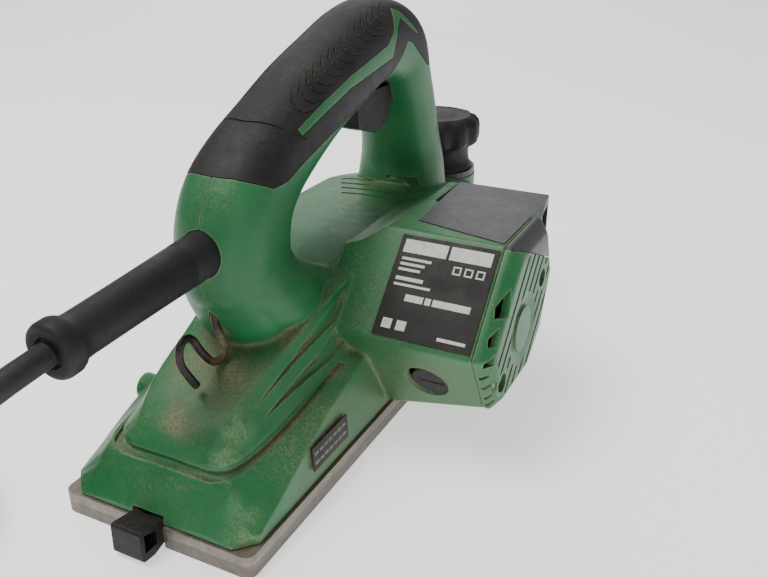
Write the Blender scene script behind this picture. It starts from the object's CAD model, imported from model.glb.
"""Looks for the electric hand planer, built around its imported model.

Lengths are millimetres in the tool's own frame: X to the motor side, Y the way it planes,
Z up from the soles. `world` moves them to the frame's metres.
"""

import math

import bmesh
import bpy
from mathutils import Matrix, Vector

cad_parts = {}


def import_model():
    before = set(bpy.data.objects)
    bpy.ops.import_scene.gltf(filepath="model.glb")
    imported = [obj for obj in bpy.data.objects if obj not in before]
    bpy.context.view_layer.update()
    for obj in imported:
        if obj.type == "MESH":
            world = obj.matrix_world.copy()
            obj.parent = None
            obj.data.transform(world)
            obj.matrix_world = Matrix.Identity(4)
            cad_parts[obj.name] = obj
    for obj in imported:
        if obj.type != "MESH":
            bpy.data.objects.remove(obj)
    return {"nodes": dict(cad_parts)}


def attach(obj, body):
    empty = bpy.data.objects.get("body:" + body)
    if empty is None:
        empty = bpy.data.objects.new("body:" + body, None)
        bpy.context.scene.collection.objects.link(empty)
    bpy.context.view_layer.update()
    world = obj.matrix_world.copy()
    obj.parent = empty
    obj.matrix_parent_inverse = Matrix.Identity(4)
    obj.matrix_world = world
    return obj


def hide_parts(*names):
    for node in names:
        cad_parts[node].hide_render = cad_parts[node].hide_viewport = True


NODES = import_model()["nodes"]
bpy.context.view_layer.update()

MM = 0.001
GAP = 0.3
STAND = Vector((-15.6, 14.93, 0.0))  # the tool frame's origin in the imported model

# ---------------------------------------------------------------- driving dimensions
HOUSING_BOTTOM = 9.4
WALL = 2.8
HANDLE_WALL = 5.0
DRUM_Y, DRUM_Z = 39.0, 25.0
DRUM_ROOM_R = 26.8
MOTOR_Y, MOTOR_Z = -17.5, 49.5
POD_END = 86.0
COVER_END = 93.2
KNOB_Y = 105.0
BOSS_R, BOSS_TOP = 22.4, 71.5  # round seat of the depth knob on the roof
FOOT_X = -2.1
ARMOUR_AT = Vector((0.0, -95.0, 96.5))
ARMOUR_END = -172.0
ARMOUR_NECK = 8.4
DROOP = math.radians(3.5)
BRUSH_X = 63.4
BRUSH_ANGLE = math.atan2(-0.479, -0.878)
LOCK_AT = (20.0, 146.0)
LOCK_HOLE_R = 5.3
COVER_SCREWS = [(3.2, 63.5), (-42.4, 37.0)]
SKIN = 0.6  # voxel of the moulded skins


def world(point):
    return (Vector(point) + STAND) * MM


def linked(name, data):
    """A new object of the scene."""
    obj = bpy.data.objects.new(name, data)
    bpy.context.scene.collection.objects.link(obj)
    return obj


# ---------------------------------------------------------------- camera, light and floor
def make_camera():
    """Looks down on the rear and the motor side, as a person standing behind the tool."""
    data = bpy.data.cameras.new("camera")
    data.sensor_width = 36.0
    data.lens = 39.23
    data.clip_start = 0.01
    camera = linked("camera", data)
    ahead = Vector((-0.40304, 0.81180, -0.42254)).normalized()
    right = ahead.cross(Vector((0, 0, 1))).normalized()
    up = right.cross(ahead)
    turn = Matrix((right, up, -ahead)).transposed().to_4x4()
    camera.matrix_world = Matrix.Translation(world((176.3, -313.75, 208.1))) @ turn
    bpy.context.scene.camera = camera


def area_light(name, place, target, size, power, colour=(1, 1, 1)):
    data = bpy.data.lights.new(name, "AREA")
    data.energy = power
    data.size = size
    data.color = colour
    light = linked(name, data)
    light.location = place
    aim = Vector(target) - Vector(place)
    light.rotation_euler = aim.to_track_quat("-Z", "Y").to_euler()


def make_studio():
    bpy.ops.mesh.primitive_plane_add(size=8.0, location=(0, 0, 0))
    floor = bpy.context.object
    floor.name = "floor"
    paint = bpy.data.materials.new("floor_white")
    paint.use_nodes = True
    sockets = paint.node_tree.nodes["Principled BSDF"].inputs
    sockets["Base Color"].default_value = (0.92, 0.92, 0.92, 1)
    sockets["Roughness"].default_value = 0.95
    sockets["Specular IOR Level"].default_value = 0.1
    sockets["Emission Color"].default_value = (1, 1, 1, 1)
    sockets["Emission Strength"].default_value = 0.85
    floor.data.materials.append(paint)
    sky = bpy.data.worlds.new("studio")
    sky.use_nodes = True
    sockets = sky.node_tree.nodes["Background"].inputs
    sockets["Color"].default_value = (1, 1, 1, 1)
    sockets["Strength"].default_value = 0.32
    bpy.context.scene.world = sky
    area_light("key", (-0.4, -0.3, 1.3), (0, 0, 0.05), 0.7, 15.0, (1.0, 0.98, 0.95))
    area_light("window", (-0.9, 1.5, 0.95), (0, 0, 0.05), 1.3, 8.0, (0.95, 0.98, 1.0))
    area_light("fill", (0.9, -1.1, 0.7), (0, 0, 0.05), 1.0, 2.6)


make_camera()
make_studio()


# ---------------------------------------------------------------- materials
DUST, DUST_DARK = (0.32, 0.255, 0.15), (0.19, 0.145, 0.08)


class Surface:
    """A Principled material put together from nodes, in object coordinates."""

    def __init__(self, name):
        self.material = bpy.data.materials.new(name)
        self.material.use_nodes = True
        self.tree = self.material.node_tree
        self.shader = self.tree.nodes["Principled BSDF"]
        self.place = self.node("TexCoord").outputs["Object"]

    def node(self, kind, settings=(), **inputs):
        made = self.tree.nodes.new("ShaderNode" + kind)
        for key, value in dict(settings).items():
            setattr(made, key, value)
        for key, value in inputs.items():
            self.set(made.inputs[key.replace("_", " ")], value)
        return made

    def set(self, socket, value):
        if isinstance(value, bpy.types.NodeSocket):
            self.tree.links.new(value, socket)
        else:
            socket.default_value = (*value, 1) if socket.type == "RGBA" else value

    def math(self, operation, a, b=0.0):
        made = self.node("Math", {"operation": operation, "use_clamp": True})
        self.set(made.inputs[0], a)
        self.set(made.inputs[1], b)
        return made.outputs[0]

    def times(self, a, b):
        return self.math("MULTIPLY", a, b)

    def uneven(self, level, spread, scale, detail=4.0):
        """A level that noise lifts here and there."""
        return self.math("ADD", level, self.times(self.noise(scale, detail), spread))

    def noise(self, scale, detail=4.0, rough=0.55, stretch=None):
        place = self.place
        if stretch:
            place = self.node("Mapping", Vector=place, Scale=stretch).outputs[0]
        made = self.node("TexNoise", Vector=place, Scale=scale, Detail=detail, Roughness=rough)
        return made.outputs["Fac"]

    def ramp(self, value, low, high):
        made = self.node("MapRange", {"clamp": True}, Value=value)
        made.inputs["From Min"].default_value = low
        made.inputs["From Max"].default_value = high
        return made.outputs["Result"]

    def mix(self, share, a, b):
        made = self.node("Mix", {"data_type": "RGBA"})
        for index, value in ((0, share), (6, a), (7, b)):
            self.set(made.inputs[index], value)
        return made.outputs[2]

    def over(self, colour, tone, share, most=1.0):
        """A colour with a tone laid over it."""
        return self.mix(self.times(share, most), colour, tone)

    def crease(self, reach):
        """Rises to 1 in corners and gaps."""
        made = self.node("AmbientOcclusion", {"samples": 8}, Distance=reach * MM)
        return self.math("SUBTRACT", 1.0, made.outputs["AO"])

    def edge(self, radius):
        """Rises to 1 along sharp edges."""
        soft = self.node("Bevel", {"samples": 4}, Radius=radius * MM).outputs[0]
        true = self.node("NewGeometry").outputs["Normal"]
        made = self.node("VectorMath", {"operation": "DOT_PRODUCT"})
        self.set(made.inputs[0], soft)
        self.set(made.inputs[1], true)
        return self.ramp(self.math("SUBTRACT", 1.0, made.outputs["Value"]), 0.01, 0.08)

    def upward(self, low, high):
        """Rises to 1 on faces that look up."""
        normal = self.node("NewGeometry").outputs["Normal"]
        z = self.node("SeparateXYZ", Vector=normal).outputs["Z"]
        return self.ramp(z, low, high)

    def spot(self, centre, radius):
        """Rises to 1 at a place on the tool."""
        made = self.node("VectorMath", {"operation": "DISTANCE"})
        self.set(made.inputs[0], self.place)
        self.set(made.inputs[1], world(centre))
        return self.ramp(made.outputs["Value"], radius * MM, 0.25 * radius * MM)

    def most(self, *values):
        value = values[0]
        for other in values[1:]:
            value = self.math("MAXIMUM", value, other)
        return value

    def bump(self, height, strength, reach):
        made = self.node("Bump", Height=height, Strength=strength, Distance=reach * MM)
        self.set(self.shader.inputs["Normal"], made.outputs[0])

    def finish(self, colour, roughness, metallic=0.0, specular=0.5):
        self.set(self.shader.inputs["Base Color"], colour)
        self.set(self.shader.inputs["Roughness"], roughness)
        self.shader.inputs["Metallic"].default_value = metallic
        self.shader.inputs["Specular IOR Level"].default_value = specular
        return self.material


def dusted(s, colour, roughness, dust, speckle):
    """Sawdust over a colour: dust is where it lies thick, speckle where it lies in grains."""
    grain = s.ramp(s.noise(900.0, 2.0, 0.7), 0.42, 0.6)
    cloud = s.noise(60.0, 5.0, 0.65)
    thick = s.times(dust, s.ramp(cloud, 0.3, 0.55))
    thin = s.times(s.times(speckle, grain), s.ramp(cloud, 0.35, 0.7))
    share = s.most(thick, thin)
    colour = s.mix(share, colour, s.mix(grain, DUST_DARK, DUST))
    return colour, s.math("ADD", roughness, s.times(share, 0.4))


def green_plastic():
    """Moulded green body, worn pale at its corners, with sawdust in every corner."""
    s = Surface("green_body")
    cloud = s.ramp(s.noise(28.0, 5.0), 0.3, 0.7)
    colour = s.mix(cloud, (0.010, 0.115, 0.035), (0.020, 0.17, 0.058))
    smear = s.ramp(s.noise(90.0, 6.0, 0.7, (1, 0.35, 1)), 0.55, 0.8)
    colour = s.over(colour, (0.07, 0.2, 0.1), smear, 0.35)
    chips = s.ramp(s.noise(1100.0, 2.0, 0.6), 0.48, 0.58)
    corner = s.most(s.spot((37.5, -138, 22), 12), s.spot((37.5, -138, 14), 10))
    rubbed = s.most(corner, s.spot((21, -117, 39), 9), s.spot((22, -126, 33), 7))
    rubbed = s.times(rubbed, s.ramp(s.noise(130.0, 4.0, 0.7), 0.35, 0.6))
    edge = s.times(s.edge(1.0), s.ramp(s.noise(160.0, 4.0, 0.7), 0.3, 0.6))
    worn = s.most(s.times(rubbed, s.math("ADD", 0.45, chips)), s.times(edge, 0.7))
    colour = s.over(colour, (0.2, 0.36, 0.16), worn, 0.8)
    grime = s.most(s.spot((42, -40, 22), 48), s.spot((66, -50, 30), 34), s.spot((45, -82, 14), 40))
    colour = s.over(colour, (0.1, 0.105, 0.045), grime, 0.3)
    nests = s.most(s.spot((3, -102, 50), 27), s.spot((0, -122, 40), 12), s.spot((22, -78, 62), 16))
    nests = s.times(nests, s.upward(0.2, 0.7))
    deck = s.times(s.spot((0, -10, 80), 60), s.upward(0.8, 1.0))
    dust = s.most(s.ramp(s.crease(4.0), 0.22, 0.52), s.times(nests, 0.62))
    speckle = s.times(s.most(s.upward(0.25, 0.9), s.times(grime, 0.8)), 0.5)
    speckle = s.most(speckle, s.times(nests, 0.95), s.times(deck, 0.28))
    colour, rough = dusted(s, colour, s.uneven(0.3, 0.22, 240.0), dust, speckle)
    s.bump(s.noise(1500.0, 3.0, 0.6), 0.22, 0.25)
    return s.finish(colour, rough, specular=0.42)


def black_rubber(name="black_grip", base=0.014, dusty=0.4):
    s = Surface(name)
    tone = s.ramp(s.noise(45.0, 5.0, 0.6), 0.3, 0.75)
    dark, light = 0.6 * base, 1.7 * base
    colour = s.mix(tone, (dark, dark, 1.1 * dark), (light, light, 1.09 * light))
    scuffs = s.ramp(s.noise(170.0, 5.0, 0.75, (1, 0.3, 1)), 0.62, 0.78)
    colour = s.over(colour, (0.11, 0.11, 0.115), scuffs, 0.25)
    dust = s.times(s.ramp(s.crease(3.0), 0.3, 0.8), dusty)
    speckle = s.times(s.upward(0.2, 0.9), 0.28 * dusty)
    colour, rough = dusted(s, colour, s.uneven(0.46, 0.24, 300.0), dust, speckle)
    s.bump(s.noise(1900.0, 2.0, 0.7), 0.3, 0.22)
    return s.finish(colour, rough, specular=0.32)


def grey_plastic():
    s = Surface("grey_chute")
    cloud = s.ramp(s.noise(40.0, 5.0), 0.3, 0.7)
    colour = s.mix(cloud, (0.028, 0.03, 0.036), (0.05, 0.052, 0.06))
    lines = s.ramp(s.noise(140.0, 5.0, 0.8, (0.3, 1.4, 1)), 0.64, 0.72)
    colour = s.over(colour, (0.2, 0.205, 0.2), lines, 0.4)
    edge = s.times(s.edge(0.7), s.ramp(s.noise(200.0), 0.4, 0.6))
    colour = s.over(colour, (0.16, 0.16, 0.165), edge, 0.5)
    dust = s.times(s.ramp(s.crease(4.0), 0.35, 0.8), 0.6)
    speckle = s.times(s.upward(0.5, 1.0), 0.16)
    colour, rough = dusted(s, colour, s.uneven(0.34, 0.2, 220.0, 5.0), dust, speckle)
    s.bump(s.noise(1700.0, 2.0), 0.2, 0.2)
    return s.finish(colour, rough)


def cast_metal(name, light, dark, rough, dusty):
    """Milled aluminium or steel, brushed along Y, stained, and darker along its lowest edge."""
    s = Surface(name)
    brush = s.noise(260.0, 4.0, 0.7, (1.0, 0.06, 1.0))
    colour = s.mix(s.ramp(brush, 0.25, 0.75), dark, light)
    colour = s.over(colour, (0.2, 0.15, 0.1), s.ramp(s.noise(75.0, 6.0, 0.7), 0.5, 0.75), 0.5)
    dust = s.times(s.ramp(s.crease(4.0), 0.3, 0.8), dusty)
    speckle = s.times(s.upward(0.5, 1.0), dusty)
    colour, level = dusted(s, colour, s.uneven(rough, 0.2, 300.0, 3.0), dust, speckle)
    height = s.node("SeparateXYZ", Vector=s.place).outputs["Z"]
    colour = s.over(colour, (0.06, 0.055, 0.05), s.ramp(height, 5.4 * MM, 4.8 * MM), 0.4)
    s.bump(brush, 0.25, 0.12)
    return s.finish(colour, level, metallic=0.75)


def dark_wire():
    """Blackened wire, its coating gone to brown rust in patches."""
    s = Surface("blackened_wire")
    rust = s.ramp(s.noise(150.0, 5.0, 0.7), 0.5, 0.64)
    colour = s.mix(rust, (0.012, 0.009, 0.009), (0.09, 0.045, 0.025))
    rough = s.math("ADD", 0.4, s.times(rust, 0.3))
    colour, rough = dusted(s, colour, rough, s.times(s.spot((4, -98, 58), 9), 0.9), 0.0)
    s.bump(s.noise(1300.0, 3.0), 0.35, 0.2)
    return s.finish(colour, rough, metallic=0.3)


def label_black(name="plate_black"):
    s = Surface(name)
    rub = s.ramp(s.noise(70.0, 6.0, 0.7), 0.45, 0.8)
    colour = s.mix(s.times(rub, 0.5), (0.006, 0.006, 0.006), (0.035, 0.032, 0.026))
    speckle = s.times(s.ramp(s.noise(30.0), 0.5, 0.75), 0.2)
    rough = s.math("ADD", 0.4, s.times(rub, 0.3))
    colour, rough = dusted(s, colour, rough, s.times(s.crease(2.0), 0.4), speckle)
    s.bump(s.noise(700.0, 3.0), 0.08, 0.1)
    return s.finish(colour, rough, specular=0.25)


def label_print():
    s = Surface("plate_print")
    worn = s.ramp(s.noise(420.0, 5.0, 0.75), 0.52, 0.7)
    colour = s.mix(s.times(worn, 0.6), (0.6, 0.6, 0.54), (0.28, 0.26, 0.2))
    s.bump(s.noise(900.0, 3.0), 0.1, 0.05)
    return s.finish(colour, s.math("ADD", 0.42, s.times(worn, 0.2)))


def plain(name, low, high, rough, metallic=0.0, scale=120.0):
    """An inner part's finish: two tones, uneven gloss and a fine grain."""
    s = Surface(name)
    colour = s.mix(s.ramp(s.noise(scale, 5.0, 0.65), 0.3, 0.7), low, high)
    s.bump(s.noise(10 * scale, 2.0), 0.2, 0.15)
    return s.finish(colour, s.uneven(rough, 0.2, 3 * scale, 3.0), metallic)


# ---------------------------------------------------------------- mesh tools
def make(name, points, faces):
    """A closed mesh object from tool-frame millimetres."""
    mesh = bpy.data.meshes.new(name)
    mesh.from_pydata([world(p) for p in points], [], faces)
    shape = bmesh.new()
    shape.from_mesh(mesh)
    bmesh.ops.recalc_face_normals(shape, faces=shape.faces)
    shape.to_mesh(mesh)
    shape.free()
    return linked(name, mesh)


def loft(name, rings):
    count = len(rings[0])
    points = [p for ring in rings for p in ring]
    faces = []
    for k in range(len(rings) - 1):
        for i in range(count):
            j = (i + 1) % count
            faces.append((k * count + i, k * count + j, (k + 1) * count + j, (k + 1) * count + i))
    faces.append(tuple(range(count)))
    faces.append(tuple(range((len(rings) - 1) * count, len(rings) * count)))
    return make(name, points, faces)


def placed(u, v, along, axis):
    if axis == "x":
        return (along, u, v)
    if axis == "y":
        return (u, along, v)
    return (u, v, along)


def prism(name, outline, low, high, axis="x"):
    return loft(name, [[placed(u, v, along, axis) for u, v in outline] for along in (low, high)])


def box(name, low, high):
    outline = [(low[0], low[1]), (high[0], low[1]), (high[0], high[1]), (low[0], high[1])]
    return prism(name, outline, low[2], high[2], "z")


def full_turn(steps):
    """Evenly spaced angles round a circle."""
    return [2 * math.pi * i / steps for i in range(steps)]


def rounded(corners, steps=5):
    """An outline from (u, v, radius) corners, each turned into an arc."""
    outline = []
    for i, (u, v, radius) in enumerate(corners):
        here = Vector((u, v))
        back = (Vector(corners[i - 1][:2]) - here).normalized()
        ahead = (Vector(corners[(i + 1) % len(corners)][:2]) - here).normalized()
        half = back.angle(ahead) / 2
        if radius <= 0 or half < 0.02 or half > 1.55:
            outline.append((u, v))
            continue
        middle = here + (back + ahead).normalized() * radius / math.sin(half)
        first = here + back * radius / math.tan(half) - middle
        last = here + ahead * radius / math.tan(half) - middle
        sweep = first.angle_signed(last)
        for k in range(steps + 1):
            spoke = first.copy()
            spoke.rotate(Matrix.Rotation(-sweep * k / steps, 2))
            outline.append(tuple(middle + spoke))
    return outline


def strip(start, end, half):
    """The corners of a straight bar from one point to another."""
    start, end = Vector(start), Vector(end)
    along = (end - start).normalized()
    over = Vector((-along.y, along.x)) * half
    return [tuple(c) for c in (start - over, end - over, end + over, start + over)]


def offset(corners, by):
    """Corners of an outline moved outwards, square to its sides."""
    count = len(corners)
    area = sum(
        corners[i - 1][0] * corners[i][1] - corners[i][0] * corners[i - 1][1] for i in range(count)
    )
    side = 1 if area > 0 else -1
    moved = []
    for i, corner in enumerate(corners):
        before = (Vector(corner[:2]) - Vector(corners[i - 1][:2])).normalized()
        after = (Vector(corners[(i + 1) % count][:2]) - Vector(corner[:2])).normalized()
        out = Vector((before.y, -before.x)) * side
        next_out = Vector((after.y, -after.x)) * side
        push = (out + next_out) * by / (1 + out.dot(next_out))
        moved.append((corner[0] + push.x, corner[1] + push.y, *corner[2:]))
    return moved


def turned(name, profile, centre=(0, 0, 0), axis="x", steps=48, wave=None):
    """Spins a closed profile of (radius, along) points; `wave` changes a radius by angle."""
    rings, points, faces = [], [], []
    for radius, along in profile:
        if radius <= 0:
            rings.append([len(points)] * steps)
            points.append(tuple(Vector(placed(0, 0, along, axis)) + Vector(centre)))
        else:
            rings.append(list(range(len(points), len(points) + steps)))
            for a in full_turn(steps):
                r = radius + (wave(a, radius, along) if wave else 0.0)
                spot = Vector(placed(r * math.cos(a), r * math.sin(a), along, axis))
                points.append(tuple(spot + Vector(centre)))
    for k, ring in enumerate(rings):
        after = rings[(k + 1) % len(rings)]
        for i in range(steps):
            j = (i + 1) % steps
            face = list(dict.fromkeys((ring[i], ring[j], after[j], after[i])))
            if len(face) > 2:
                faces.append(tuple(face))
    return make(name, points, faces)


def disc(name, radius, low, high, centre=(0, 0, 0), axis="x", steps=48):
    return turned(name, [(0, low), (radius, low), (radius, high), (0, high)], centre, axis, steps)


def settle(obj):
    """Turns an object's modifiers into its mesh."""
    bpy.context.view_layer.update()
    view = bpy.context.evaluated_depsgraph_get()
    result = bpy.data.meshes.new_from_object(obj.evaluated_get(view))
    obj.modifiers.clear()
    obj.data = result
    return obj


def combine(target, others, operation):
    """Applies one boolean with each of the other objects, which are used up."""
    for other in others:
        modifier = target.modifiers.new(operation.lower(), "BOOLEAN")
        modifier.operation = operation
        modifier.solver = "MANIFOLD"
        modifier.object = other
        settle(target)
        bpy.data.objects.remove(other, do_unlink=True)
    return target


def join(target, *others):
    return combine(target, others, "UNION")


def cut(target, *others):
    return combine(target, others, "DIFFERENCE")


def keep(target, *others):
    return combine(target, others, "INTERSECT")


def gathered(name, pieces):
    """Several separate bodies as one object."""
    shape = bmesh.new()
    for piece in pieces:
        shape.from_mesh(piece.data)
        bpy.data.objects.remove(piece, do_unlink=True)
    mesh = bpy.data.meshes.new(name)
    shape.to_mesh(mesh)
    shape.free()
    return linked(name, mesh)


def moulded(obj):
    """Melts joined bodies into one skin with soft edges, as they leave a mould."""
    skin = obj.modifiers.new("skin", "REMESH")
    skin.mode = "VOXEL"
    skin.voxel_size = SKIN * MM
    soft = obj.modifiers.new("soft", "SMOOTH")
    soft.factor = 0.5
    soft.iterations = 2
    return settle(obj)


def bevel(obj, width, segments=3, angle=35):
    """Rounds an object's sharp edges with a modifier."""
    edges = obj.modifiers.new("edges", "BEVEL")
    edges.width = width * MM
    edges.segments = segments
    edges.limit_method = "ANGLE"
    edges.angle_limit = math.radians(angle)
    return edges


def dress(obj, body, material, *replaced, slot=None, sharp=32):
    """Gives a finished piece its material, its body and the CAD nodes that it stands for."""
    obj.data.materials.clear()
    obj.data.materials.append(material)
    obj.data.shade_smooth()
    obj.data.set_sharp_from_angle(angle=math.radians(sharp))
    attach(obj, body)
    if replaced:
        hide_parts(*replaced)
    return obj


def smooth_path(route, count):
    """Evenly spaced points on a smooth curve through hand-chosen route points."""
    points = [Vector(p) for p in route]
    ends = [2 * points[0] - points[1], *points, 2 * points[-1] - points[-2]]
    fine = []
    for k in range(1, len(ends) - 2):
        a, b, c, d = ends[k - 1 : k + 3]
        for i in range(24):
            t = i / 24
            fine.append(
                0.5 * (2 * b + (c - a) * t + (2 * a - 5 * b + 4 * c - d) * t**2)
                + 0.5 * (3 * b - a - 3 * c + d) * t**3
            )
    fine.append(points[-1])
    reach = [0.0]
    for a, b in zip(fine, fine[1:]):
        reach.append(reach[-1] + (b - a).length)
    even, k = [], 0
    for i in range(count):
        target = reach[-1] * i / (count - 1)
        while k < len(fine) - 2 and reach[k + 1] < target:
            k += 1
        share = (target - reach[k]) / (reach[k + 1] - reach[k])
        even.append(fine[k].lerp(fine[k + 1], share))
    return even


def pipe(name, points, radius, sides=10, taper=0.0):
    """A closed round bar along points, thinner at its ends by `taper`."""
    points = [Vector(p) for p in points]
    last = len(points) - 1
    side = None
    rings = []
    for i, point in enumerate(points):
        along = (points[min(i + 1, last)] - points[max(i - 1, 0)]).normalized()
        side = along.orthogonal() if side is None else side - along * side.dot(along)
        side.normalize()
        other = along.cross(side)
        near = min(i, last - i) / max(1.0, last * 0.3)
        r = radius * (1 - taper * (1 - min(1.0, near)))
        spokes = [side * math.cos(a) + other * math.sin(a) for a in full_turn(sides)]
        rings.append([tuple(point + spoke * r) for spoke in spokes])
    return loft(name, rings)


def smooth_rows(rows, step):
    """Rows of a table filled in along their first column without overshoot."""
    gaps = [b[0] - a[0] for a, b in zip(rows, rows[1:])]
    slopes = []
    for c in range(1, len(rows[0])):
        rise = [(b[c] - a[c]) / g for a, b, g in zip(rows, rows[1:], gaps)]
        inner = [0.0 if p * q <= 0 else 2 * p * q / (p + q) for p, q in zip(rise, rise[1:])]
        slopes.append([rise[0], *inner, rise[-1]])
    filled = []
    for k, gap in enumerate(gaps):
        count = max(1, round(gap / step))
        for i in range(count):
            t = i / count
            row = [rows[k][0] + gap * t]
            for c in range(1, len(rows[0])):
                a, b = rows[k][c], rows[k + 1][c]
                m, n = slopes[c - 1][k] * gap, slopes[c - 1][k + 1] * gap
                row.append(
                    a + m * t + (3 * (b - a) - 2 * m - n) * t**2 + (m + n - 2 * (b - a)) * t**3
                )
            filled.append(tuple(row))
    filled.append(rows[-1])
    return filled


def mirrored(half):
    """A closed ring from the right half of a section, top centre first."""
    return half + [(-x, y, z) for x, y, z in reversed(half) if x > 0]


# ---------------------------------------------------------------- mains cord
CORD_R = 4.0
# the stretch from the armour to the coil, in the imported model's millimetres
ROUTE = [
    (-15.6, -157.23, 91.8), (-15.6, -164.0, 91.2), (-15.9, -174.0, 90.0),
    (-18.4, -189.0, 85.6), (-23.6, -204.0, 76.0), (-31.6, -217.5, 61.0),
    (-42.5, -228.5, 43.5), (-56.0, -236.5, 26.5), (-71.5, -240.3, 12.5),
    (-90.5, -240.9, 4.4), (-108.0, -240.5, 4.1),
]
COIL_AT = Vector((-121.0, -186.0))
COIL_R = 46.2
PITCH = 8.2  # from turn to turn, sideways and upwards
TAIL_R = 33.0
TAIL_FROM = math.radians(128.0)
TAIL_TO = math.radians(-22.0)
TAIL_LOW, TAIL_HIGH = 29.0, 37.6
# how each turn lies: steps outwards from the middle turn, and layer
TURNS = [(1, 0), (0, 0), (-1, 0), (-1, 1), (0, 1), (1, 1), (1, 2), (0, 2)]


def ease(share):
    share = min(max(share, 0.0), 1.0)
    return share * share * (3 - 2 * share)


def round_about(middle, radius, angle, z):
    return (middle.x + radius * math.cos(angle), middle.y + radius * math.sin(angle), z)


def coil_points():
    """The turns of the coil, wound clockwise from its near side, the lowest layer first."""
    whole = 1.5 * math.pi - TAIL_FROM + 2 * math.pi * (len(TURNS) - 1)
    count = int(whole / math.radians(6))
    points = []
    for i in range(1, count + 1):
        swept = whole * i / count
        k = min(int(swept / (2 * math.pi)), len(TURNS) - 1)
        part = swept / (2 * math.pi) - k
        side, layer = TURNS[k]
        next_side, next_layer = TURNS[min(k + 1, len(TURNS) - 1)]
        change = ease((part - 0.8) / 0.2)
        out = side + (next_side - side) * change
        high = layer + (next_layer - layer) * change
        z = CORD_R + 0.1 + PITCH * high
        z += (TAIL_LOW - z) * ease(1 - (whole - swept) / 0.7)
        points.append(round_about(COIL_AT, COIL_R + PITCH * out, -math.pi / 2 - swept, z))
    return points


def tail_points():
    """The cord's end: a level arc over the coil that climbs to the plug."""
    middle = COIL_AT + Vector((math.cos(TAIL_FROM), math.sin(TAIL_FROM))) * (COIL_R - TAIL_R)
    points = []
    for k in range(1, 25):
        share = k / 24
        angle = TAIL_FROM + (TAIL_TO - TAIL_FROM) * share
        z = TAIL_LOW + (TAIL_HIGH - TAIL_LOW) * ease((share - 0.35) / 0.65)
        points.append(round_about(middle, TAIL_R, angle, z))
    return points


def make_cord():
    points = [tuple(p) for p in smooth_path(ROUTE, 40)] + coil_points() + tail_points()
    curve = bpy.data.curves.new("mains_cord", "CURVE")
    curve.dimensions = "3D"
    curve.bevel_depth = CORD_R * MM
    curve.bevel_resolution = 4
    curve.use_fill_caps = True
    spline = curve.splines.new("POLY")
    spline.points.add(len(points) - 1)
    for spot, point in zip(spline.points, points):
        spot.co = (*(Vector(point) * MM), 1)
    cord = linked("mains_cord", curve)
    curve.materials.append(black_rubber("cord_rubber", 0.022, 0.5))
    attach(cord, "frame")
    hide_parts("power_cord", "cord_coil", "cord_tail")


make_cord()


# ---------------------------------------------------------------- housing outlines
# Y, then the right half of the skirt's section: foot, side, shelf edge
SKIRT = [
    (-141.6, 35.0, 34.8, 9.9, 30.0, 10.4),
    (-140.4, 38.6, 38.4, 10.3, 30.6, 12.6),
    (-138.8, 40.2, 40.0, 11.1, 29.8, 15.6),
    (-136.0, 40.5, 40.4, 12.2, 28.6, 20.4),
    (-132.4, 40.5, 40.4, 13.6, 27.4, 25.8),
    (-130.5, 40.5, 40.4, 14.4, 27.2, 27.4),
    (-123.6, 40.5, 40.4, 17.0, 30.0, 28.0),
    (-108.9, 40.5, 40.2, 23.7, 31.8, 29.6),
    (-90.8, 40.5, 39.4, 30.7, 33.4, 32.4),
    (-73.0, 40.5, 38.8, 36.2, 34.6, 37.0),
    (-55.0, 40.5, 39.0, 41.2, 36.4, 42.6),
    (-40.0, 40.5, 40.0, 44.5, 38.6, 47.0),
    (0.0, 40.5, 40.0, 52.0, 39.0, 56.0),
    (78.0, 40.5, 40.0, 50.0, 38.5, 54.0),
    (110.0, 40.0, 39.5, 42.0, 37.0, 46.0),
    (128.0, 38.0, 37.5, 30.0, 34.0, 34.0),
    (136.0, 34.0, 33.5, 20.0, 30.0, 24.0),
    (138.6, 30.0, 29.5, 14.0, 27.0, 16.0),
]
# Y, then the roof's lip (half-width, height), crease (half-width, height), spine height
ROOF = [
    (-129.6, 17.0, 29.4, 14.0, 30.2, 30.3),
    (-128.6, 20.6, 29.4, 15.0, 32.4, 32.6),
    (-126.4, 23.6, 29.6, 16.2, 36.0, 36.3),
    (-122.4, 25.4, 29.8, 17.0, 40.0, 40.4),
    (-111.0, 27.6, 31.0, 19.5, 47.0, 47.8),
    (-85.0, 29.6, 34.4, 22.5, 56.5, 57.6),
    (-60.0, 31.8, 40.0, 26.0, 66.0, 67.6),
    (-40.0, 34.6, 45.4, 29.0, 72.0, 74.2),
    (-20.0, 37.0, 50.6, 32.0, 76.0, 78.3),
    (10.0, 38.5, 56.0, 34.0, 77.5, 80.3),
    (45.0, 39.0, 58.0, 35.0, 77.0, 80.3),
    (75.0, 38.5, 55.0, 32.0, 72.5, 76.0),
    (100.0, 37.0, 48.0, 27.0, 66.0, 69.5),
    (120.0, 33.0, 38.0, 20.0, 54.0, 57.0),
    (130.0, 28.0, 30.0, 15.0, 42.0, 44.0),
    (134.0, 22.0, 24.0, 10.0, 32.0, 33.0),
]
ROOF_BASE = 15.0

# Y and Z corners of the motor housing seen from its end: at the body, then at the outer end
POD_ROOT = [
    (-27.8, 87.8, 2), (-60.4, 53.6, 1.5), (-57.4, 48.8, 0.8), (-36.6, 11.2, 3),
    (1.6, 11.2, 3), (22.3, 49.0, 3), (22.3, 60.0, 3), (10.0, 87.8, 3),
]
POD = [
    (-27.8, 87.8, 2), (-60.4, 53.6, 1.5), (-57.4, 48.8, 0.8), (-43.4, 23.5, 3),
    (-8.0, 23.5, 6), (10.0, 36.0, 6), (21.6, 62.0, 3), (10.0, 87.8, 3),
]
POD_ROOT_IN, POD_ROOT_X = 20.0, 44.0  # where its root starts inside the body, and where it ends
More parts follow.
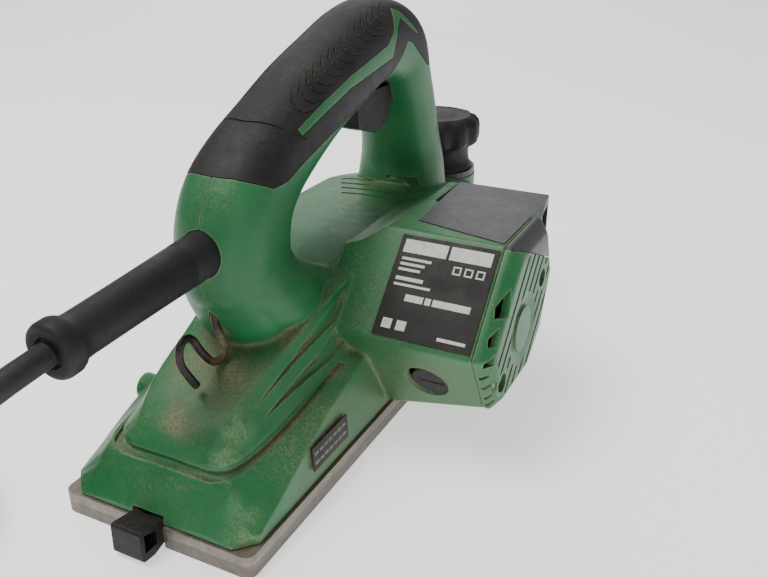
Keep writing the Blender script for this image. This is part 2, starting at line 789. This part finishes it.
# middle line of the handle: Y, Z, half its width, half its depth
HANDLE = [
    (-62.0, 50.0, 18.0, 18.0), (-68.0, 60.0, 19.0, 20.0), (-76.0, 72.0, 19.6, 21.0),
    (-82.4, 85.0, 19.6, 20.0), (-82.7, 97.0, 19.6, 20.0), (-77.6, 108.5, 19.0, 19.4),
    (-66.6, 117.8, 18.2, 18.2), (-50.0, 126.6, 17.6, 17.4), (-30.0, 135.8, 17.6, 17.2),
    (-8.0, 143.4, 17.8, 17.2), (12.0, 149.6, 17.8, 17.6), (29.0, 151.0, 17.8, 18.2),
    (43.5, 145.0, 17.8, 18.2), (50.0, 132.0, 17.8, 16.4), (55.5, 118.0, 18.0, 16.2),
    (59.5, 102.0, 18.8, 16.6), (61.8, 87.0, 21.0, 17.0), (61.0, 70.0, 23.0, 19.5),
    (61.0, 60.0, 23.0, 19.5),
]
# Y and Z outline of the black grip's edge, seen from the side
GRIP_EDGE = [
    (-112.0, 121.5), (-91.0, 121.5), (-81.0, 116.6), (-72.0, 117.0), (-62.0, 120.0),
    (-35.6, 126.3), (-13.9, 130.0), (14.9, 136.7), (19.0, 140.0), (29.5, 152.0),
    (34.0, 150.5), (51.0, 138.0), (75.0, 136.0), (75.0, 190.0), (-112.0, 190.0),
]
GRIP_THICK = 2.0
# X and Y corners of the chip chute
CHUTE_PLAN = [(45.0, -17.0), (88.0, -27.0), (88.0, 8.0), (84.0, 38.0), (41.5, 38.0)]
CHUTE_TOP = 88.2
CHUTE_BELLY_R = 38.0  # the chute's underside follows this radius round the motor
# height, middle along Y, half-width and half-length of the swelling under the rear leg
SADDLE = [
    (52.0, -60.0, 17.0, 17.0),
    (60.0, -66.0, 22.0, 23.0),
    (66.0, -68.0, 24.0, 27.0),
    (74.0, -73.0, 23.5, 27.5),
    (84.0, -80.5, 21.0, 21.6),
    (93.0, -83.0, 18.6, 18.6),
]
# Y and Z corners of the uprights that hold the drum's bearings, and how far out they stand
CHEEK = [
    (12, 8.0, 2), (30, 8.0, 0), (34, 12.6, 0), (52, 12.6, 4), (56, 26, 10), (46, 41, 6), (24, 41, 8),
]
CHEEK_IN, CHEEK_OUT, LUG_IN = 42.3, 46.5, 39.0


def cheek_room(side):
    """The room for one upright, and for the lug that carries it on the sole."""
    low, high = sorted((side * (CHEEK_IN - GAP), side * (CHEEK_OUT + GAP)))
    wall = prism("cheek", rounded(offset(CHEEK, GAP)), low, high)
    low, high = sorted((side * (LUG_IN - GAP), side * (CHEEK_OUT + GAP)))
    return [wall, box("lug", (low, 12 - GAP, 1.0), (high, 26 + GAP, 10.0 + GAP))]


def case_outline(inset, bottom):
    """The belt case's outline round both shafts, flat along the bottom edge of the housing."""
    drive, driven = 27.0 - inset, 24.0 - inset
    apart = Vector((DRUM_Y - MOTOR_Y, DRUM_Z - MOTOR_Z))
    lean = math.atan2(apart.y, apart.x)
    wrap = math.acos((drive - driven) / apart.length)
    behind = (drive, MOTOR_Y, MOTOR_Z, lean + wrap, 2 * math.pi - 2 * wrap)
    ahead = (driven, DRUM_Y, DRUM_Z, lean - wrap, 2 * wrap)
    outline = []
    for radius, y, z, start, sweep in (behind, ahead):
        for k in range(11):
            angle = start + sweep * k / 10
            outline.append((y + radius * math.cos(angle), max(bottom, z + radius * math.sin(angle))))
    return outline


def chute_block(name, grown):
    """The outer form of the chip chute: its plan, its level top and the motor's curve below."""
    block = prism(name, offset(CHUTE_PLAN, grown), 50.0 - grown, CHUTE_TOP + grown, "z")
    motor = cylinder_cut(CHUTE_BELLY_R - grown, 0, 120, MOTOR_Y, MOTOR_Z)
    lean = [(80.0, 100.0), (85.0 + grown, 88.2), (91.0 + grown, 72.0), (120.0, 72.0), (120.0, 100.0)]
    corner = prism("corner", lean, -60, 60, "y")
    return cut(block, motor, corner)


# middle line of the wire hook, from the handle's leg to its free end
HOOK_ROUTE = [
    (0.0, -97.6, 73.0), (0.2, -97.6, 67.0), (2.0, -97.0, 60.5), (3.0, -97.4, 56.6),
    (3.0, -101.0, 54.4), (2.6, -104.6, 55.6), (1.2, -108.2, 61.0), (0.2, -111.0, 66.8),
    (0.0, -114.6, 68.8), (0.0, -118.0, 66.4), (0.4, -118.6, 60.8), (1.6, -116.4, 55.0),
    (2.6, -114.0, 50.2),
]


def body_loft(name, table, section, inset, step):
    """A loft of mirrored sections along Y, pulled in on all sides by `inset`."""
    rings = []
    for y, *row in smooth_rows(table, step) if step else table:
        y += inset * 1.2 * (1 if y < 0 else -1)
        rings.append(mirrored([(x, y, z) for x, z in section(*row, inset)]))
    return loft(name, rings)


def skirt_section(foot, side, side_z, shelf, shelf_z, inset):
    return [
        (0.0, shelf_z + 1.2 - inset),
        (shelf - 5.5, shelf_z + 0.8 - inset),
        (shelf - inset, shelf_z - inset),
        (side - inset, side_z - inset * 0.4),
        (foot - inset, HOUSING_BOTTOM - inset),
    ]


def skirt_loft(name, inset=0.0, step=0.0):
    return body_loft(name, SKIRT, skirt_section, inset, step)


def roof_section(lip, lip_z, crease, crease_z, spine, inset):
    return [
        (0.0, spine - inset),
        (crease * 0.6, spine - 0.25 * (spine - crease_z) - inset),
        (crease - inset * 0.5, crease_z - inset),
        (lip - inset, lip_z + 2.2),
        (lip - inset, ROOF_BASE),
    ]


def roof_loft(name, inset=0.0, step=0.0):
    return body_loft(name, ROOF, roof_section, inset, step)


def handle_line(count):
    """Stations along the handle: middle, the way across its depth, half width, half depth."""
    line = smooth_path(HANDLE, count)
    stations = []
    for i, (y, z, half, deep) in enumerate(line):
        step = line[min(i + 1, count - 1)] - line[max(i - 1, 0)]
        up = Vector((0, -step[1], step[0])).normalized()
        stations.append((Vector((0, y, z)), up, half, deep))
    return stations


def section_point(station, angle, inset=0.0):
    middle, up, half, deep = station
    c, s = math.cos(angle), math.sin(angle)
    across = (half - inset) * math.copysign(abs(c) ** 0.8, c)
    over = (deep - inset) * math.copysign(abs(s) ** 0.8, s)
    return middle + Vector((across, 0, 0)) + up * over


def handle_sweep(name, inset=0.0, count=96, around=56):
    rings = []
    for station in handle_line(count):
        rings.append([tuple(section_point(station, a, inset)) for a in full_turn(around)])
    return loft(name, rings)


def cylinder_cut(radius, low, high, y, z):
    return disc("cutter", radius, low, high, (0, y, z), steps=64)


def pod_loft(name, inset, low, high):
    """The motor housing, whose belly rises from the body to the outer end."""
    rings = []
    for x, corners in ((low, POD_ROOT), (POD_ROOT_X, POD_ROOT), (high, POD)):
        rings.append([(x, y, z) for y, z in rounded(offset(corners, -inset))])
    return loft(name, rings)


def pod_prism(name, inset, low, high):
    return prism(name, rounded(offset(POD, -inset)), low, high)


def outer_body(inset=0.0, step=0.0):
    """Skirt, roof, motor housing, knob seat and the bulges over both drum bearings."""
    body = join(skirt_loft("housing", inset, step), roof_loft("roof", inset, step))
    past = 1.0 if inset > 0 else 0.0
    root = POD_ROOT_IN + inset
    pod = pod_loft("pod", inset, root, POD_END + past)
    ramp = [(10, 79.7), (20, 79.9), (27, 82.0), (36.5, 87.9), (36.5, 110), (10, 110)]
    pod = cut(pod, prism("ramp", [(x, z - inset) for x, z in ramp], -60, 40, "y"))
    back, front, low, high = -14 + inset, 74 - inset, 12.2 - inset, 56 - inset
    bulge = [(back, low, 2), (front, low, 4), (front, high - 6, 10), (back, high, 6)]
    right = prism("right_bulge", rounded(bulge), root, 50.0 - inset)
    left = prism("left_bulge", case_outline(inset, 12.2 - inset), -47.2 - past, -root)
    boss = disc("boss", BOSS_R - inset, 50.0 - inset, BOSS_TOP - inset, (0, KNOB_Y, 0), "z", 96)
    return join(body, pod, right, left, boss)


def saddle():
    """The swelling where the handle's rear leg meets the roof, drawn out to a tip on each side."""
    rings = []
    for z, middle, half, deep in smooth_rows(SADDLE, 1.5):
        ring = []
        drawn = 0.42 * math.exp(-(((z - 69.0) / 5.0) ** 2))
        for angle in full_turn(96):
            u, v = math.cos(angle), math.sin(angle)
            away = abs(math.atan2(v, abs(u))) if v > 0 else 0.0
            tip = 1 + drawn * math.exp(-(((away - math.radians(52)) / 0.22) ** 2))
            ring.append((half * u * tip, middle + deep * v * tip, z))
        rings.append(ring)
    return loft("saddle", rings)


def chute_ramp():
    """The slope from the deck up to the chute's top, which also walls off the chute's inner side."""
    rings = []
    for y, share, side in ((0.0, 1.0, 41.0), (37.6, 1.0, 41.0), (46.0, 0.0, 33.0)):
        top = 78.0 + 9.9 * share
        outline = [(10, 52), (side, 52), (side, top), (side - 4.5, top)]
        outline += [(27, 78.0 + 4.0 * share), (20, 78.0 + 1.9 * share), (10, 78.0 + 1.7 * share)]
        rings.append([(x, y, z) for x, z in outline])
    return loft("chute_ramp", rings)


# Y and Z outlines of the recesses pressed into the roof's flanks, and the deeper ends in them
FLANK_RECESSES = [
    [(-49.5, 67.0), (-56.5, 57.4), (-83.0, 50.2), (-109.0, 42.7), (-83.6, 52.0), (-69.9, 58.3)],
    [
        (-58.9, 55.4), (-56.2, 46.9), (-64.9, 43.7), (-81.4, 42.0), (-107.0, 38.5), (-80.6, 46.1),
        (-69.3, 49.3),
    ],
]
FLANK_POCKETS = [
    [(-70.5, 57.4), (-71.6, 54.4), (-82.0, 51.2), (-81.5, 52.6)],
    [(-69.9, 48.6), (-71.0, 45.6), (-81.0, 43.4), (-80.6, 45.4)],
]
# ends of the grooves across the roof, X and Y
DECK_GROOVES = [
    ((-25.0, 43.2), (18.5, 46.8)),
    ((-21.0, 35.9), (21.0, 39.2)),
    ((-17.0, 29.0), (20.0, 31.8)),
    ((-13.0, 21.6), (19.0, 24.4)),
]


def flank_cutters():
    cutters = []
    for outlines, deep in ((FLANK_RECESSES, 1.5), (FLANK_POCKETS, 1.9)):
        for side in (-1, 1):
            low, high = sorted((side * 12.0, side * 50.0))
            bars = gathered("bars", [prism("bar", outline, low, high) for outline in outlines])
            solid = [roof_loft("floor", deep, 3.0)]
            if side > 0:
                solid.append(pod_loft("pod", -0.4, 15.0, POD_END))
            cutters.append(cut(bars, *solid))
    return cutters


def ledge_channel():
    """The narrow dust-filled channel in the ledge round the roof's lip."""
    ring = keep(skirt_loft("channel", -0.5, 2.5), roof_loft("outside", -2.4, 2.5))
    ring = cut(ring, roof_loft("inside", 0.15, 2.5), skirt_loft("floor", 1.1, 2.5))
    return cut(ring, box("ahead", (-60, -62, 0), (60, 150, 90)))


def corner_cutters():
    """Flat facets down the rear corners of the skirt."""
    corners = []
    for side in (-1, 1):
        outline = [(32.8, -142.2), (41.3, -133.2), (45.0, -133.2), (45.0, -146.0), (32.8, -146.0)]
        corners.append(prism("corner", [(side * x, y) for x, y in outline], 0, 40, "z"))
    return corners


def deck_cutter():
    """The grooves across the roof, 1 mm deep."""
    bars = [prism("groove", strip(*ends, 1.1), 70.0, 84.0, "z") for ends in DECK_GROOVES]
    return cut(gathered("grooves", bars), roof_loft("floor", 1.0, 3.0))


def drooped(obj):
    """Hangs a piece built along Y from the origin on the armour's axis."""
    home = Matrix.Translation(world((0, 0, 0)))
    place = Matrix.Translation(world(ARMOUR_AT)) @ Matrix.Rotation(DROOP, 4, "X")
    obj.data.transform(place @ home.inverted())
    return obj


def at_brush(obj):
    """Turns a piece built along +Z from the tool's origin towards the rear brush."""
    home = Matrix.Translation(world((0, 0, 0)))
    place = Matrix.Translation(world((BRUSH_X, MOTOR_Y, MOTOR_Z)))
    obj.data.transform(place @ Matrix.Rotation(BRUSH_ANGLE - math.pi / 2, 4, "X") @ home.inverted())
    return obj


# Y and Z outline of the green stripe that shows through the grip's sides
STRIPE = [
    (-60.9, 132.6), (-42.6, 139.1), (-22.7, 145.3), (9.6, 152.6), (15.6, 156.8), (20.4, 164.0),
    (22.8, 166.1), (27.2, 164.4), (34.0, 159.2), (41.0, 153.8), (40.2, 152.8), (32.6, 156.6),
    (25.0, 161.4), (20.8, 158.4), (17.4, 152.4), (14.6, 146.4), (-22.9, 140.3), (-42.8, 134.7),
    (-59.1, 129.7),
]


def grip_prism(name, grown=0.0):
    return prism(name, offset(GRIP_EDGE, grown), -40, 40)


def handle_mould():
    """Body and whole handle as one skin."""
    body = moulded(join(outer_body(0.0, 2.5), handle_sweep("bar"), saddle(), chute_ramp()))
    return cut(body, *flank_cutters(), ledge_channel(), *corner_cutters())


def handle_seats():
    """What is taken out of both halves of the handle."""
    seat = cut(grip_prism("seat", GAP), handle_sweep("core", GRIP_THICK + GAP))
    seat = cut(seat, prism("stripe", offset(STRIPE, -GAP), -40, 40))
    sleeve = drooped(disc("sleeve", ARMOUR_NECK + GAP, -40, 8, axis="y", steps=64))
    hook_way = disc("hook_way", 1.9, 60, 74, (0, HOOK_ROUTE[0][1], 0), "z", 24)
    slot = box("slot", (-7.2, 0.0, 100.0), (7.2, 37.5, 140.0))
    return [seat, handle_sweep("hollow", HANDLE_WALL, 22, 12), sleeve, slot, hook_way]


def lock_hole():
    return disc("button_hole", LOCK_HOLE_R, -40, -5, (0, *LOCK_AT))


def left_zone(grown):
    """The space of the handle's left half, clear of the body."""
    return cut(box("zone", (-60, -140, 40), (-GAP / 2, 100, 220)), outer_body(-grown))


def housing_cutters():
    chute = chute_block("chute_seat", GAP)
    foot_bay = box("foot_bay", (FOOT_X - 7.0, -150, 0), (FOOT_X + 7.0, -128.0, 12.6))
    front_clear = box("front_clear", (-55, 46.0, 0), (55, 160, 12.0))
    knob_way = disc("knob_way", 10.8, 10, 90, (0, KNOB_Y, 0), "z", 48)
    scale_seat = disc("scale_seat", 24.7, 70.2, 110, (0, KNOB_Y, 0), "z", 96)
    brush = at_brush(disc("brush_seat", 8.3, 20.0, 40.0, axis="z"))
    well = at_brush(turned("well", [(8.0, 33.2), (10.6, 36.5), (8.0, 40.0)], axis="z"))
    drum = cylinder_cut(DRUM_ROOM_R, -42.4, 42.4, DRUM_Y, DRUM_Z)
    ways = handle_sweep("ways", HANDLE_WALL + GAP, 22, 12)
    cutters = [outer_body(WALL), chute, ways, foot_bay, front_clear, knob_way, scale_seat]
    return [*cutters, brush, well, drum, *cheek_room(-1), *cheek_room(1)]


def make_body(green):
    mould = handle_mould()
    left = linked("handle_left_half", mould.data.copy())
    lug = disc("lug", 5.6, -44.6, -36.0, (0, -91.0, 25.0), "x", 48)
    spare = left_zone(0.4)
    spare_gap = box("parting", (-GAP / 2 - 0.01, -140, 40), (GAP / 2, 100, 220))
    spare_gap = cut(spare_gap, outer_body(-0.4))
    shell = cut(join(mould, lug), spare, spare_gap, *handle_seats())
    shell = cut(shell, *housing_cutters(), deck_cutter())
    shell.name = "body_shell"
    dress(shell, "frame", green, "housing", slot="green_plastic")
    left = keep(left, left_zone(0.7))
    left = cut(left, *handle_seats(), lock_hole())
    dress(left, "frame", green, "handle_cover", slot="green_plastic")


# ---------------------------------------------------------------- grip
# a fine line across the grip's rear end, its right half
GRIP_LINE = [(0.1, -71.1, 135.9), (7.0, -69.5, 135.7), (14.1, -65.6, 132.9), (17.2, -58.0, 128.4)]
SLIT_FROM, SLIT_TO, SLIT_COUNT = -54.0, 17.0, 14


def grip_slits():
    """Short curved slits across the shoulders of the grip."""
    stations = handle_line(300)
    slits = []
    for k in range(SLIT_COUNT):
        y = SLIT_FROM + (SLIT_TO - SLIT_FROM) * k / (SLIT_COUNT - 1)
        upper = [s for s in stations if s[0].z > 118]
        near = min(upper, key=lambda s: abs(s[0].y + s[1].y * s[3] * 0.8 - y))
        index = stations.index(near)
        for side in (-1, 1):
            points = []
            for i in range(15):
                share = i / 14
                angle = math.radians(68 - 44 * share)
                drift = stations[min(max(index + round(7 * (share - 0.5) ** 2 * 4 - 3), 0), 299)]
                spot = section_point(drift, angle)
                points.append((side * spot.x, spot.y, spot.z))
            slits.append(pipe("slit", points, 0.75, 8, 0.75))
    return gathered("slits", slits)


def grip_line():
    half = smooth_path(GRIP_LINE, 16)
    whole = [(-p.x, p.y, p.z) for p in reversed(half[1:])] + [tuple(p) for p in half]
    return pipe("line", whole, 0.55, 8)


def make_grip(rubber):
    """The rubber over the handle, slit across its shoulders, open along the green stripe."""
    grip = keep(handle_sweep("grip_skin", 0.0, 150, 80), grip_prism("edge"))
    grip = cut(grip, handle_sweep("core", GRIP_THICK))
    grip = cut(grip, prism("stripe", STRIPE, -40, 40), grip_slits(), grip_line(), lock_hole())
    dress(grip, "frame", rubber, "grip_cover", slot="black_rubber", sharp=30)


# ---------------------------------------------------------------- end cover and labels
PLATE_DOWN = (Vector((0, *POD[1][:2])) - Vector((0, *POD[0][:2]))).normalized()
PLATE_OUT = Vector((0, PLATE_DOWN.z, -PLATE_DOWN.y))
SLOT_STEP = 6.5
DISH_AT = (-19.5, 50.0)  # Y and Z of the disc among the slots
# Y and Z outlines of the openings in the cover's rear chamfer
SCOOPS = [
    [(-35.6, 74.4), (-44.6, 69.6), (-47.0, 66.0), (-40.8, 64.6)],
    [(-46.6, 62.8), (-52.6, 60.2), (-54.4, 57.4), (-50.6, 56.8)],
    [(-53.2, 54.6), (-57.6, 52.4), (-57.0, 49.8), (-53.0, 50.0)],
]
SLITS = [(-53.2, 44.6), (-50.0, 38.8), (-46.6, 32.8), (-44.4, 28.4)]
FAN_FROM = (-30.0, 55.0)


def cover_slots():
    """Slots side by side, level with the rating plate, stopped short of the cover's edge."""
    bars = []
    for k in range(8):
        middle = Vector((0, *POD[0][:2])) + PLATE_DOWN * 24 - PLATE_OUT * (5.6 + k * SLOT_STEP)
        ends = (middle - PLATE_DOWN * 50).yz, (middle + PLATE_DOWN * 50).yz
        bars.append(prism("slot", strip(*ends, 1.15), 84, 100))
    slots = keep(gathered("slots", bars), pod_prism("reach", 6.6, 80, 104))
    slots = cut(slots, cylinder_cut(15.4, 80, 104, *DISH_AT))
    for y, z in COVER_SCREWS:
        slots = cut(slots, disc("keep", 6.2, 80, 104, (0, y, z)))
    return slots


def chamfer_openings():
    """Three scoops in the cover's rear chamfer, and slits below them that fan out."""
    openings = [prism("scoop", outline, 85, 97) for outline in SCOOPS]
    for slit in SLITS:
        out = (Vector(slit) - Vector(FAN_FROM)).normalized()
        ends = Vector(slit) - out, Vector(slit) + out * 6.0
        openings.append(prism("slit", strip(*ends, 0.9), 87.5, 96))
    return gathered("openings", openings)


# Y and Z outline of the chute's grey cheek, above the sloping top edge of the cover
CHEEK_ABOVE = [(-28.6, 86.4), (-24.0, 85.2), (26.0, 63.4), (26.0, 110.0), (-28.6, 110.0)]


def make_end_cover(green, grey):
    """The slotted cap over the cooling air intake, with a dished disc in its middle."""
    rings = []
    for x, inset in ((POD_END + GAP, 0.15), (88.2, 0.0), (89.0, 0.4), (92.6, 4.4), (COVER_END, 5.6)):
        rings.append([(x, y, z) for y, z in rounded(offset(POD, -inset), 6)])
    cover = loft("air_cover", rings)
    above = prism("above", offset(CHEEK_ABOVE, -GAP), 80, 100)
    grey_cheek = cut(keep(loft("chute_cheek", rings), above), chute_block("chute_seat", GAP))
    bevel(grey_cheek, 0.5)
    dress(settle(grey_cheek), "frame", grey, slot="grey_plastic")
    cover = cut(cover, prism("above", CHEEK_ABOVE, 80, 100))
    cover = cut(cover, pod_prism("inside", 3.0, POD_END - 2, COVER_END - 3.4))
    dish = [(16.2, 93.3), (10.4, 91.9), (9.6, 92.4), (9.6, 95), (16.2, 95)]
    dish = turned("dish", dish, (0, *DISH_AT))
    cover = cut(cover, dish, cover_slots(), chamfer_openings(), chute_block("chute_seat", GAP))
    pads, wells = [], []
    for y, z in COVER_SCREWS:
        pads.append(disc("pad", 5.6, POD_END + GAP, COVER_END - 0.4, (0, y, z)))
        wells.append(disc("well", 4.0, COVER_END - 3.4, 100, (0, y, z)))
        wells.append(disc("bore", 2.2, 80, 100, (0, y, z), steps=24))
    cover = cut(join(cover, *pads), *wells)
    dress(cover, "frame", green, "end_cover", slot="green_plastic")


def plate_point(across, down, lift):
    """A point over the rating plate, across along X and down its slope."""
    return Vector((44.4 + across, *POD[0][:2])) + PLATE_DOWN * (2.6 + down) + PLATE_OUT * lift


def plate_block(across, down, wide, high):
    rings = []
    for lift in (0.86, 0.96):
        corners = ((0, 0), (wide, 0), (wide, high), (0, high))
        rings.append([tuple(plate_point(across + u, down + v, lift)) for u, v in corners])
    return loft("block", rings)


# how far across and down the plate each bar starts, its width and its height
PRINT_BARS = [
    (2.0, 1.8, 18.4, 5.6), (21.6, 1.8, 17.2, 5.6), (2.6, 9.4, 12.6, 1.1), (2.6, 11.7, 10.4, 1.1),
    (2.6, 14.0, 9.2, 1.1), (2.6, 17.6, 11.6, 1.5), (2.6, 20.4, 15.4, 1.0), (9.0, 24.4, 7.6, 2.8),
    (17.4, 24.4, 2.4, 2.8), (20.6, 24.4, 15.4, 2.8), (3.0, 35.2, 4.0, 4.0), (9.0, 35.2, 4.0, 4.0),
    (26.6, 38.6, 11.4, 1.3),
]
# the four sides of a small open frame
PRINT_FRAME = [(0, 0, 3.4, 0.6), (0, 2.8, 3.4, 0.6), (0, 0.7, 0.6, 2.0), (2.8, 0.7, 0.6, 2.0)]


def make_plate_print(pale):
    """Plain blocks, bars and frames where a rating plate carries its print."""
    bars = list(PRINT_BARS)
    for start in (24.6, 29.4, 34.2):
        bars += [(start + across, 9.6 + down, wide, high) for across, down, wide, high in PRINT_FRAME]
    blocks = [plate_block(*bar) for bar in bars]
    dress(gathered("plate_print", blocks), "frame", pale)


def make_sticker_print(pale):
    """Two rows of short plain dashes on the small sticker."""
    blocks = []
    for low, high in ((18.4, 19.6), (22.2, 23.4)):
        for k in range(7):
            back = -98.6 + 3.4 * k
            rings = []
            for lift in (-0.04, 0.06):
                spots = ((back, low), (back + 2.6, low), (back + 2.6, high), (back, high))
                rings.append([(41.6 - 0.06 * (z - 16.0) + lift, y, z) for y, z in spots])
            blocks.append(loft("dash", rings))
    dress(gathered("sticker_print", blocks), "frame", pale)


# ---------------------------------------------------------------- knob, armour, hook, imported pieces
def make_knob(plastic):
    """The depth knob, its head scalloped for the fingers."""
    profile = [(5.5, 74.0), (20.4, 74.0), (20.4, 74.8), (19.2, 76.4), (18.5, 79.0), (18.3, 83.0)]
    profile += [(19.0, 85.4), (22.0, 87.0), (24.0, 88.8), (24.3, 91.0), (24.3, 96.4), (23.6, 99.0)]
    profile += [(21.8, 101.0), (18.6, 101.9), (17.8, 101.5), (12.0, 102.2), (0, 102.6)]
    profile += [(0, 80.0), (5.5, 80.0)]

    def wave(angle, radius, along):
        share = min(1.0, max(0.0, (along - 85.0) / 3.0)) if radius > 19.0 else 0.0
        return -1.7 * share * abs(math.sin(6 * angle)) ** 3

    knob = turned("knob_head", profile, (0, KNOB_Y, 0), "z", 144, wave)
    dress(knob, "knob", plastic, "depth_knob", slot="black_plastic", sharp=40)


def make_armour(rubber):
    """The sleeve that guards the cord, with a rolled end and a few faint moulded rings."""
    end = ARMOUR_END - ARMOUR_AT.y
    profile = [(0, 7.0), (11.0, 7.0), (11.0, 4.0), (ARMOUR_NECK, 4.0), (ARMOUR_NECK, -9.0)]
    profile += [(8.3, -12.0), (8.3, -17.0), (7.95, -17.6), (7.95, -18.6), (8.2, -19.2)]
    profile += [(7.7, end + 30.0), (7.5, end + 12.0), (7.7, end + 8.6), (8.9, end + 7.0)]
    profile += [(9.4, end + 5.6), (9.4, end + 2.2), (9.0, end + 0.9), (8.0, end + 0.2)]
    profile += [(6.4, end), (5.2, end + 0.3), (4.7, end + 2.0), (0, end + 2.0)]
    sleeve = drooped(turned("cord_sleeve", profile, axis="y", steps=72))
    dress(sleeve, "frame", rubber, "cord_armour", slot="black_rubber", sharp=40)


def make_hook(wire):
    hook = pipe("bent_wire", smooth_path(HOOK_ROUTE, 120), 1.5, 20)
    bevel(hook, 0.4)
    dress(settle(hook), "frame", wire, "wire_hook", slot="dark_steel")


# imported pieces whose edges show, with the width of their rounding
EDGED = {
    "base_frame": 0.5, "front_base": 0.5, "chip_chute": 0.7, "park_foot": 0.5, "trigger": 0.6,
    "lock_button": 0.4, "brush_cap_rear": 0.4, "depth_scale": 0.4, "belt_cover": 0.7,
    "coil_tie": 0.3,
}
REPLACED = {
    "housing", "handle_cover", "grip_cover", "end_cover", "depth_knob", "cord_armour", "wire_hook",
    "power_cord", "cord_coil", "cord_tail",
}


def finish_cad(grey):
    """Materials, and soft edges where they show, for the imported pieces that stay."""
    steel = cast_metal("milled_steel", (0.45, 0.45, 0.44), (0.26, 0.25, 0.24), 0.3, 0.25)
    sole = cast_metal("milled_aluminium", (0.34, 0.305, 0.27), (0.17, 0.15, 0.13), 0.42, 0.55)
    black = black_rubber("black_moulding", 0.009, 0.5)
    sealed = plain("sealed_black", (0.012, 0.012, 0.013), (0.03, 0.03, 0.033), 0.4)
    copper = plain("copper_windings", (0.3, 0.1, 0.04), (0.55, 0.24, 0.12), 0.3, 0.9, 260.0)
    iron = plain("stacked_iron", (0.03, 0.026, 0.024), (0.08, 0.07, 0.062), 0.45, 0.6)
    carbon = plain("pressed_carbon", (0.012, 0.012, 0.012), (0.035, 0.035, 0.035), 0.55)
    worn = {
        sole: ("base_frame", "front_base", "cutter_drum"),
        grey: ("chip_chute", "depth_scale"),
        label_black(): ("nameplate",),
        label_black("sticker_black"): ("side_label",),
        black: ("park_foot", "trigger", "lock_button", "plug", "coil_tie"),
        black_rubber("cap_black", 0.014, 1.5): ("brush_cap_rear",),
        black_rubber("case_moulding", 0.02, 0.5): ("belt_cover",),
        copper: ("armature", "commutator"),
        iron: ("stator", "blade_clamp_1", "blade_clamp_2"),
        carbon: ("carbon_brush_front", "carbon_brush_rear"),
        sealed: (
            "brush_cap_front", "brush_holder_front", "brush_holder_rear", "fan", "switch_body",
            "drive_belt",
        ),
    }
    finish_of = {name: material for material, names in worn.items() for name in names}
    for name, obj in NODES.items():
        if name in REPLACED:
            continue
        for slot in obj.material_slots:
            slot.material = finish_of.get(name, steel)
        if name in EDGED:
            bevel(obj, EDGED[name], 2, 40).harden_normals = True


green = green_plastic()
grey = grey_plastic()
make_body(green)
make_grip(black_rubber())
make_end_cover(green, grey)
make_plate_print(label_print())
make_sticker_print(plain("sticker_print", (0.1, 0.098, 0.09), (0.22, 0.21, 0.19), 0.5))
make_knob(black_rubber("knob_black", 0.008, 0.3))
make_armour(black_rubber("sleeve_black", 0.012, 0.15))
make_hook(dark_wire())
finish_cad(grey)
